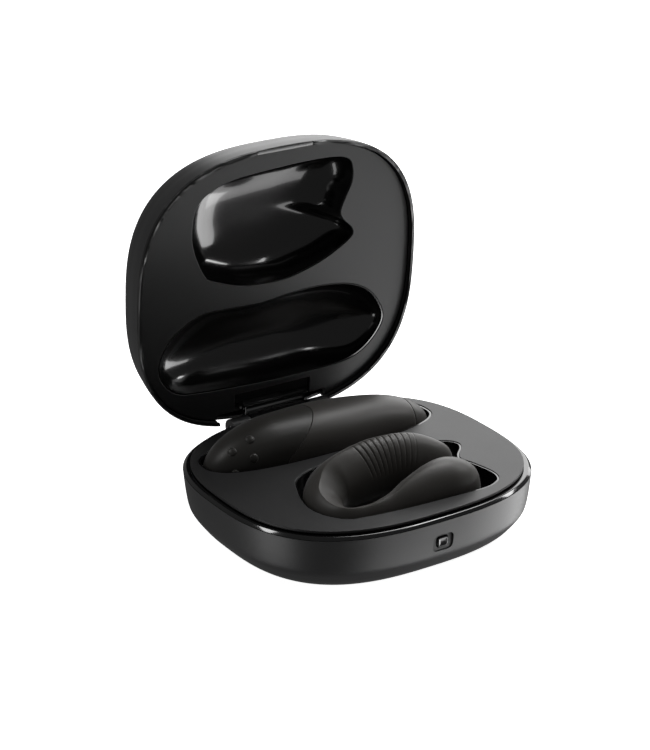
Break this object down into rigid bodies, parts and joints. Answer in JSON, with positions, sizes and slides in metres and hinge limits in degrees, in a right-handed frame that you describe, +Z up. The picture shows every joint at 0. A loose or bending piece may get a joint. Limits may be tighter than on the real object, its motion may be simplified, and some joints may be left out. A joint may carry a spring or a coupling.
{
  "type": "hinged charging case",
  "caption": "Rounded-square hinged charging case, open, with gloss black cavities holding a palm remote and a folded ribbed silicone wearable.",
  "frame": {"origin": "middle of the flat face that the case stands on", "axes": "+X right as seen from the front button, +Y towards the hinge, +Z up"},
  "size_m": [0.115, 0.1264, 0.1276],
  "materials": {
    "charcoal_shell": "fine matte soft-touch",
    "gloss_black": "polished black",
    "silicone": "silky matte silicone",
    "silicone_dark": "silky matte silicone",
    "foot_rubber": "matte rubber",
    "circuit_board": "solder mask",
    "contact_gold": "gold plated",
    "cell_foil": "foil wrap",
    "steel": "plain"
  },
  "bodies": {
    "base": {"base_deck": "charcoal_shell", "base_hinge_bracket": "charcoal_shell", "base_magnet_left": "steel", "base_magnet_right": "steel", "base_shell": "charcoal_shell", "base_trim_ring": "gloss_black", "battery_cell": "cell_foil", "button_board": "circuit_board", "button_switch": "steel", "case_screw_device_left": "steel", "case_screw_device_right": "steel", "case_screw_remote_left": "steel", "case_screw_remote_right": "steel", "device_pocket": "gloss_black", "foot_pad": "foot_rubber", "hinge_pin": "steel", "main_board": "circuit_board", "pogo_pin_device_left": "contact_gold", "pogo_pin_device_right": "contact_gold", "pogo_pin_remote_left": "contact_gold", "pogo_pin_remote_right": "contact_gold", "remote_pocket": "gloss_black", "usb_port": "steel"},
    "lid": {"lid_device_recess": "gloss_black", "lid_hinge_bracket": "gloss_black", "lid_magnet_left": "steel", "lid_magnet_right": "steel", "lid_plate": "charcoal_shell", "lid_remote_recess": "gloss_black", "lid_shell": "charcoal_shell", "lid_trim_ring": "gloss_black"},
    "front_button": {"front_button": "gloss_black"},
    "remote": {"remote_battery": "cell_foil", "remote_board": "circuit_board", "remote_body": "silicone", "remote_button_end": "silicone_dark", "remote_contact_left": "contact_gold", "remote_contact_right": "contact_gold", "remote_end_cap": "silicone"},
    "device": {"device_cell": "cell_foil", "device_contact_left": "contact_gold", "device_contact_right": "contact_gold", "device_driver": "steel", "device_skin": "silicone"},
    "remote_button_up": {"remote_button_up": "silicone_dark"},
    "remote_button_down": {"remote_button_down": "silicone_dark"},
    "remote_button_mode": {"remote_button_mode": "silicone_dark"},
    "remote_button_power": {"remote_button_power": "silicone_dark"}
  },
  "joints": [
    {"name": "lid_hinge", "type": "hinge", "parent": "base", "child": "lid", "pos_m": [0, 0.05175, 0.0233], "axis": [1, 0, 0], "range_deg": [0, 85]},
    {"name": "front_button_press", "type": "slide", "parent": "base", "child": "front_button", "axis": [0, 1, 0], "range_m": [0, 0.0006], "stiffness_N_per_m": 300},
    {"name": "remote_lift", "type": "slide", "parent": "base", "child": "remote", "axis": [0, 0, -1], "range_m": [-0.03, 0]},
    {"name": "device_lift", "type": "slide", "parent": "base", "child": "device", "axis": [0, 0, -1], "range_m": [-0.03, 0]},
    {"name": "remote_up_press", "type": "slide", "parent": "remote", "child": "remote_button_up", "axis": [0.3002, 0.484, -0.822], "range_m": [0, 0.0005], "stiffness_N_per_m": 200},
    {"name": "remote_down_press", "type": "slide", "parent": "remote", "child": "remote_button_down", "axis": [0.4972, 0.4639, -0.7332], "range_m": [0, 0.0005], "stiffness_N_per_m": 200},
    {"name": "remote_mode_press", "type": "slide", "parent": "remote", "child": "remote_button_mode", "axis": [0.2133, 0.928, -0.3056], "range_m": [0, 0.0005], "stiffness_N_per_m": 200},
    {"name": "remote_power_press", "type": "slide", "parent": "remote", "child": "remote_button_power", "axis": [0.0958, 0.8344, -0.5428], "range_m": [0, 0.0005], "stiffness_N_per_m": 200}
  ]
}
